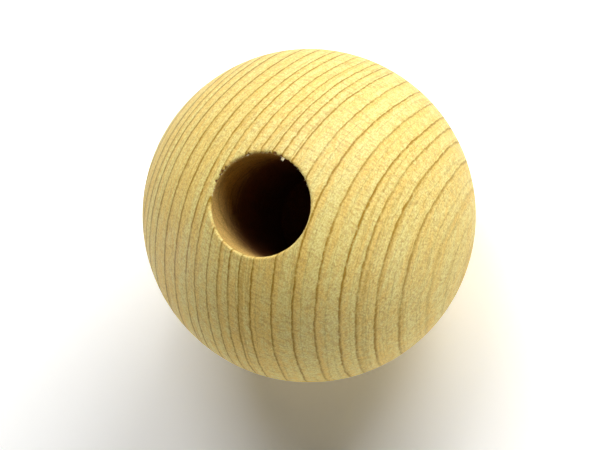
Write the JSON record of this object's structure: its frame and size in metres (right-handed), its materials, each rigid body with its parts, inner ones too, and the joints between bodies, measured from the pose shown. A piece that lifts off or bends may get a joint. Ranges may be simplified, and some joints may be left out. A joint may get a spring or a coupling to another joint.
{
  "type": "wooden ball",
  "caption": "Turned round ball of pale, unfinished hardwood with a deep blind bore that takes a dowel, for handles, finials, stands and craft work.",
  "frame": {"origin": "centre of the sphere, which lies on the bore's axis", "axes": "+Z along the bore, out of its mouth; +X along the wood's fibres, which the bore crosses at a right angle"},
  "size_m": [0.05, 0.05, 0.0487],
  "materials": {
    "hardwood": "sanded smooth, unvarnished, fine growth-ring lines"
  },
  "bodies": {
    "root": {"ball": "hardwood"}
  },
  "joints": []
}
